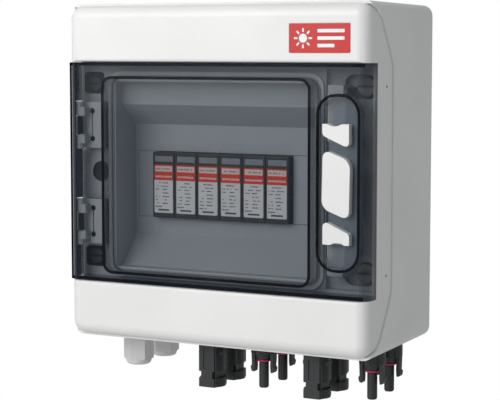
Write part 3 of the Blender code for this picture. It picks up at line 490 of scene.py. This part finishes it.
def make_label(name, body, x, y, z, draw):
    """A label with a red head, pale strips and rows of marks that spell nothing."""
    middle = (x[0] + x[1]) / 2
    half = 0.0075
    top = z[1] - 0.0089
    bottom = z[0] + 0.0034
    height = top - bottom
    front = y[0] - 0.00012
    split = top - 0.32 * height
    bm = bmesh.new()
    sides = (middle - half, middle + half)
    red = rounded(sides, (split, top), (0.0003, 0.0003, 0.00001, 0.00001), 2)
    grey = rounded(sides, (bottom, split), (0.00001, 0.00001, 0.0009, 0.0009), 4)
    prism_into(bm, red, front, y[0] + 0.00005, "Y", 0)
    prism_into(bm, grey, front, y[0] + 0.00005, "Y", 2)

    def at(share):
        return top - share * height

    inset = (sides[0] + 0.0007, sides[1] - 0.0005)
    printed = (front - PRINT_RISE, front + 0.00002)
    box_into(bm, inset, printed, (at(0.14), at(0.026)), 1)
    dashes(bm, (inset[0] + 0.0008, inset[1] - 0.0012), at(0.085), 0.0011, 0.8, printed[0], draw, 4)
    dashes(bm, (sides[0] + 0.0010, sides[1] - 0.0008), at(0.245), 0.0013, 1.0, front, draw, 1)
    dashes(bm, (middle - 0.0036, middle + 0.0036), at(0.375), 0.0008, 0.9, front, draw, 3)
    dashes(bm, (sides[0] + 0.0012, sides[1] - 0.0020), at(0.445), 0.0007, 0.7, front, draw, 3)
    for row, share in enumerate((0.51, 0.585, 0.66, 0.73, 0.80)):
        if row != 1:
            dashes(bm, (sides[0] + 0.0012, middle - 0.0030), at(share), 0.0007, 0.8, front, draw, 3)
        end = middle + 0.0030 + 0.0008 * (row % 3)
        dashes(bm, (middle - 0.0008, end), at(share), 0.0008, 0.9, front, draw, 3)
    dashes(bm, (sides[0] + 0.0008, middle - 0.0012), at(0.87), 0.0008, 0.9, front, draw, 3)
    box_into(bm, (middle - 0.0044, middle + 0.0046), printed, (at(0.955), at(0.92)), 3)
    add(name, bm, [LABEL_RED, LABEL_PALE, LABEL_GREY, LABEL_MARK, WINDOW], body)


def make_arresters():
    draw = random.Random(7)
    for number in range(1, 7):
        node = f"spd_plug_{number}"
        body = f"plug_{number}"
        x, y, z = grown(node)
        restyle(node, f"arrester_plug_{number}", BLACK, body, 0.0003)
        middle = (x[0] + x[1]) / 2
        bm = bmesh.new()
        pane = rounded((middle - 0.0071, middle + 0.0071), (0.0059, 0.0100), (0.0004,) * 4, 3)
        prism_into(bm, pane, y[0] + 0.00015, y[0] + 0.00065, "Y")
        soften(add(f"status_pane_{number}", bm, [WINDOW], body), 0.0001, 1)
        make_label(f"arrester_label_{number}", body, x, y, z, draw)
    for number in (1, 2):
        restyle(f"spd_base_{number}", f"arrester_base_{number}", BLACK, "housing", 0.0003)
    for side in ("left", "right"):
        name = f"blanking_plate_{side}"
        # The blanking plates take the recess's painted-shade grey.
        restyle(f"blanking_strip_{side}", name, RECESS_PAINTED_SHADE, "housing", 0.0002)


# ---------------------------------------------------------------- underside

def socket_outline(half):
    """Half-flattened round section: flats front and back with a groove beside each, round ends."""
    quarter = [(0.0060, -0.0092), (0.0060, -0.0080), (0.0068, -0.0080), (0.0068, -0.0060)]
    quarter += arc((0, 0), half, -38, 0, 6)
    right = quarter + [(px, -py) for px, py in reversed(quarter[:-1])]
    return right + [(-px, -py) for px, py in right]


def socket_mesh(low):
    """Round shell with flats, a waist above the collar, side teeth, latch windows, a bore and its contact."""
    bm = bmesh.new()
    prism_into(bm, socket_outline(0.0087), low + 0.0050, BOTTOM_Z - 0.0003)
    body = add("socket_proto", bm, [CONNECTOR], None)
    parts = []
    collar = bmesh.new()
    prism_into(collar, socket_outline(0.00925), low + 0.0002, low + 0.0062)
    parts.append(add("collar", collar, [], None))
    neck = bmesh.new()
    lathe_into(neck, [(0, -0.001), (0.0060, -0.001), (0.0060, 0.0139), (0.0054, 0.0145), (0, 0.0145)],
               (0, 0, BOTTOM_Z), closed=False)
    parts.append(add("neck", neck, [], None))
    for top in (-0.0035, -0.0100):
        tooth = (BOTTOM_Z + top - 0.0028, BOTTOM_Z + top)
        parts.append(cutter_box((-0.0091, 0.0091), (-0.0040, 0.0040), tooth))
    carve(body, parts, "UNION")
    cutters = []
    bore = bmesh.new()
    bored = [(0, -0.002), (0.0042, -0.002), (0.0042, 0.0244), (0, 0.0244)]
    lathe_into(bore, bored, (0, 0, low), closed=False)
    cutters.append(add("bore", bore, [], None))
    for side in (-1, 1):
        waist = (low + 0.0064, low + 0.0112)
        cutters.append(cutter_box(sorted((side * 0.0060, side * 0.012)), (-0.0062, 0.0062), waist))
        for face_side in (-1, 1):
            corner = sorted((face_side * 0.0060, face_side * 0.012))
            cutters.append(cutter_box(sorted((side * 0.0044, side * 0.012)), corner, waist))
        groove = sorted((side * 0.0086, side * 0.012))
        cutters.append(cutter_box((-0.0025, 0.0025), groove, (BOTTOM_Z - 0.0225, BOTTOM_Z - 0.0085)))
    carve(body, cutters)
    contact = bmesh.new()
    lathe_into(contact, [(0, 0.006), (0.0012, 0.006), (0.0014, 0.0063), (0.0014, 0.026), (0, 0.026)],
               (0, 0, low), closed=False)
    carve(body, [add("contact", contact, [], None)], "UNION")
    mesh = body.data
    bpy.data.objects.remove(body, do_unlink=True)
    return tidy_mesh(mesh)


def tidy_mesh(mesh):
    """Welds a carved mesh and joins its coplanar faces."""
    bm = bmesh.new()
    bm.from_mesh(mesh)
    bmesh.ops.remove_doubles(bm, verts=bm.verts, dist=5e-6)
    bmesh.ops.dissolve_limit(bm, angle_limit=math.radians(0.5), verts=bm.verts, edges=bm.edges)
    bm.to_mesh(mesh)
    bm.free()
    return mesh


def make_sockets():
    shared = socket_mesh(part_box("socket_connector_1")[0][2])
    for number in range(1, 5):
        node = f"socket_connector_{number}"
        x, y = grown(node)[:2]
        piece = bpy.data.objects.new(f"input_socket_{number}", shared)
        bpy.context.scene.collection.objects.link(piece)
        piece.location = (sum(x) / 2, sum(y) / 2, 0)
        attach(piece, "housing")
        soften(piece, 0.00020, 1, 40)
        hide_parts(node)


def plug_mesh():
    """Turned body with a probe and its open tip, grip notches and two latch fingers."""
    profile = [(0, 0.0145), (0.0054, 0.0145), (0.0060, 0.0139), (0.0060, -0.0003), (0.0090, -0.0003),
               (0.0090, -0.0082), (0.0086, -0.0086), (0.0066, -0.0086), (0.0060, -0.0102),
               (0.0056, -0.0124), (0.0034, -0.0124), (0.0030, -0.0128), (0.0030, -0.0148),
               (0.0034, -0.0150), (0.0034, -0.0318), (0.0028, -0.0328), (0.0016, -0.0328),
               (0.0016, -0.0250), (0, -0.0250)]
    bm = bmesh.new()
    lathe_into(bm, profile, (0, 0, BOTTOM_Z), closed=False)
    body = add("plug_proto", bm, [CONNECTOR], None)
    notches = []
    for i in range(12):
        turn = 2 * math.pi * (i + 0.5) / 12
        if abs(math.cos(turn)) > 0.9:
            continue
        notch = cutter_box((-0.0006, 0.0006), (0.0084, 0.012), (BOTTOM_Z - 0.010, BOTTOM_Z - 0.0035))
        notch.rotation_euler = (0, 0, turn - math.pi / 2)
        notches.append(notch)
    carve(body, notches)
    points = [(0.0057, -0.0070), (0.0086, -0.0070), (0.0082, -0.0172), (0.0090, -0.0182),
              (0.00915, -0.0190), (0.0086, -0.0212), (0.0080, -0.0218), (0.0068, -0.0221),
              (0.0063, -0.0216), (0.0060, -0.0180), (0.0061, -0.0130)]
    fingers = []
    for side in (-1, 1):
        finger = bmesh.new()
        prism_into(finger, [(side * px, BOTTOM_Z + pz) for px, pz in points], -0.0026, 0.0026, "Y")
        fingers.append(add("finger", finger, [], None))
    carve(body, fingers, "UNION")
    mesh = body.data
    bpy.data.objects.remove(body, do_unlink=True)
    return mesh


def make_plugs():
    """The four plug connectors, and the seal ring on each probe."""
    shared = plug_mesh()
    for number in range(1, 5):
        node = f"plug_connector_{number}"
        x, y = grown(node)[:2]
        piece = bpy.data.objects.new(f"output_plug_{number}", shared)
        bpy.context.scene.collection.objects.link(piece)
        piece.location = (sum(x) / 2, sum(y) / 2, 0)
        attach(piece, "housing")
        soften(piece, 0.00022, 2, 35)
        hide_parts(node)

        ring = bmesh.new()
        section = arc((0.00405, 0.0), 0.00078, 0, 324, 9)
        lathe_into(ring, section, (*piece.location[:2], BOTTOM_Z - 0.0136), 40)
        seal = add(f"probe_seal_{number}", ring, [CRIMSON], "housing")
        for polygon in seal.data.polygons:
            polygon.use_smooth = True
        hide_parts(f"seal_ring_{number}")


def hexagon(radius, turn=0.0):
    return arc((0, 0), radius, turn, turn + 300, 5)


def make_glands():
    for row in ("front", "rear"):
        x, y, z = grown(f"gland_cap_{row}")
        centre = Vector((sum(x) / 2, sum(y) / 2, 0))
        bm = bmesh.new()
        prism_into(bm, hexagon(0.0108, 25.0), z[0] + 0.0038, z[1])
        cap = add(f"gland_nut_{row}", bm, [GLAND], None)
        limit = bmesh.new()
        lathe_into(limit, [(0, z[0] + 0.003), (0.0094, z[0] + 0.003), (0.0109, z[0] + 0.0046),
                           (0.0109, z[1] - 0.0012), (0.0100, z[1] + 0.001), (0, z[1] + 0.001)], (0, 0, 0),
                   closed=False)
        carve(cap, [add("limit", limit, [], None)], "INTERSECT")
        dome = bmesh.new()
        lathe_into(dome, [(0, z[0]), (0.0068, z[0]), (0.0080, z[0] + 0.0005), (0.0088, z[0] + 0.0015),
                          (0.0092, z[0] + 0.0028), (0.0093, z[0] + 0.0044), (0, z[0] + 0.0044)], (0, 0, 0),
                   closed=False)
        carve(cap, [add("dome", dome, [], None)], "UNION")
        hollow = bmesh.new()
        lathe_into(hollow, [(0, z[0] - 0.001), (0.0045, z[0] - 0.001), (0.0045, z[0] + 0.0055),
                            (0.0078, z[0] + 0.0055), (0.0078, z[1] + 0.001), (0, z[1] + 0.001)], (0, 0, 0),
                   closed=False)
        carve(cap, [add("hollow", hollow, [], None)])
        cap.location = centre
        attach(cap, "housing")
        soften(cap, 0.00035, 2, 35)
        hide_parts(f"gland_cap_{row}")
        restyle(f"gland_body_{row}", f"gland_stem_{row}", GLAND, "housing", 0.0002)


# ---------------------------------------------------------------- name plate

def make_name_plate():
    """A plain red plate in the lid's seat, with a plain sun sign and bars in place of any name."""
    x = (0.0580, 0.1009)
    z = (0.0822, 0.1010)
    seat = -0.1075
    front = seat - 0.00042
    bm = bmesh.new()
    prism_into(bm, rounded(x, z, (0.0008,) * 4, 4), front, seat + 0.0001, "Y")
    plate = add("name_plate", bm, [PLATE_RED], "housing")
    soften(plate, 0.00012, 2)
    sign = bmesh.new()
    y = (front - 0.00005, front + 0.00004)
    centre = (x[0] + 0.0098, (z[0] + z[1]) / 2)
    prism_into(sign, arc(centre, 0.0029, 0, 345, 23), y[0], y[1], "Y")
    for i in range(8):
        turn = math.pi * i / 4
        along = (math.cos(turn), math.sin(turn))
        across = (-along[1], along[0])
        ray = [(centre[0] + along[0] * r + across[0] * w, centre[1] + along[1] * r + across[1] * w)
               for r, w in ((0.0040, -0.0006), (0.0064, -0.0006), (0.0064, 0.0006), (0.0040, 0.0006))]
        prism_into(sign, ray, y[0], y[1], "Y")
    for i, length in enumerate((0.0190, 0.0190, 0.0120)):
        top = z[1] - 0.0036 - i * 0.0047
        bar = rounded((x[0] + 0.0200, x[0] + 0.0200 + length), (top - 0.0022, top), (0.0004,) * 4, 2)
        prism_into(sign, bar, y[0], y[1], "Y")
    add("name_plate_sign", sign, [PLATE_WHITE], "housing")


# ---------------------------------------------------------------- what stays CAD

def finish_nodes():
    """Materials for the CAD nodes that stay as they are."""
    chosen = {
        "lid_gasket": RUBBER, "door_gasket": SEAL_GREY, "din_rail": STEEL, "earth_wire": EARTH_WIRE,
        "latch_spring_upper": STEEL, "latch_spring_lower": STEEL,
        "dc_wire_1": RED_WIRE, "dc_wire_2": RED_WIRE, "dc_wire_3": BLACK_WIRE, "dc_wire_4": BLACK_WIRE,
        "gland_lock_nut_front": GLAND, "gland_lock_nut_rear": GLAND,
    }
    for number in range(1, 5):
        chosen[f"socket_lock_nut_{number}"] = CONNECTOR
        chosen[f"plug_lock_nut_{number}"] = CONNECTOR
    for node, made in chosen.items():
        slots = NODES[node].data.materials
        slots.clear()
        slots.append(made)


# ---------------------------------------------------------------- stage, light, camera

def make_stage():
    made, tree, shader = material("stage_white")
    shader.inputs["Base Color"].default_value = (0.8, 0.8, 0.8, 1.0)
    glow = tree.nodes.new("ShaderNodeEmission")
    path = tree.nodes.new("ShaderNodeLightPath")
    mix = tree.nodes.new("ShaderNodeMixShader")
    tree.links.new(path.outputs["Is Camera Ray"], mix.inputs["Fac"])
    tree.links.new(shader.outputs["BSDF"], mix.inputs[1])
    tree.links.new(glow.outputs["Emission"], mix.inputs[2])
    tree.links.new(mix.outputs["Shader"], tree.nodes["Material Output"].inputs["Surface"])
    bm = bmesh.new()
    bmesh.ops.create_circle(bm, cap_ends=True, segments=96, radius=6.0)
    floor = add("stage_floor", bm, [made], None)
    floor.location = (0, 0, -0.45)


def make_world():
    world = bpy.data.worlds.new("studio")
    world.use_nodes = True
    bpy.context.scene.world = world
    tree = world.node_tree
    seen = tree.nodes["Background"]
    seen.inputs["Color"].default_value = (1.0, 1.0, 1.0, 1.0)
    fill = tree.nodes.new("ShaderNodeBackground")
    fill.inputs["Color"].default_value = (0.97, 0.985, 1.0, 1.0)
    fill.inputs["Strength"].default_value = 0.42
    path = tree.nodes.new("ShaderNodeLightPath")
    mix = tree.nodes.new("ShaderNodeMixShader")
    tree.links.new(path.outputs["Is Camera Ray"], mix.inputs["Fac"])
    tree.links.new(fill.outputs["Background"], mix.inputs[1])
    tree.links.new(seen.outputs["Background"], mix.inputs[2])
    tree.links.new(mix.outputs["Shader"], tree.nodes["World Output"].inputs["Surface"])


def area_light(name, place, aim, size, power, colour=(1.0, 1.0, 1.0)):
    data = bpy.data.lights.new(name, "AREA")
    data.shape = "RECTANGLE"
    data.size, data.size_y = size
    data.energy = power
    data.color = colour
    light = bpy.data.objects.new(name, data)
    bpy.context.scene.collection.objects.link(light)
    light.location = place
    light.rotation_euler = (Vector(aim) - Vector(place)).to_track_quat("-Z", "Y").to_euler()


def make_camera():
    data = bpy.data.cameras.new("camera")
    data.lens = 116.06
    data.sensor_width = 36.0
    data.clip_start = 0.01
    camera = bpy.data.objects.new("camera", data)
    bpy.context.scene.collection.objects.link(camera)
    camera.location = (0.52133, -1.03977, 0.08587)
    camera.rotation_euler = (math.radians(84.583), 0.0, math.radians(27.825))
    bpy.context.scene.camera = camera


make_camera()
make_world()
make_stage()
area_light("key", (-0.62, -1.75, 0.75), (0, 0, 0), (1.2, 0.9), 19)
area_light("top_lift", (-0.15, -0.55, 0.52), (0, -0.108, 0.09), (0.3, 0.2), 0.70)
area_light("low_lift", (-0.2, -0.9, -0.40), (0, -0.1, -0.11), (0.8, 0.3), 0.40)
area_light("sheen", (-1.15, -2.1, 0.14), (-1.15, 0, 0.14), (0.7, 0.36), 1.1)
area_light("streak_wide", (-1.05, -2.0, -0.1), (-1.05, 0, -0.1), (0.03, 0.7), 0.05)
area_light("streak_thin", (-1.13, -2.0, -0.1), (-1.13, 0, -0.1), (0.015, 0.7), 0.03)
bpy.context.scene.view_settings.view_transform = "Standard"

make_base()
make_lid()
make_door()
make_hinges()
make_screws()
make_latch()
make_arresters()
make_sockets()
make_plugs()
make_glands()
make_name_plate()
finish_nodes()
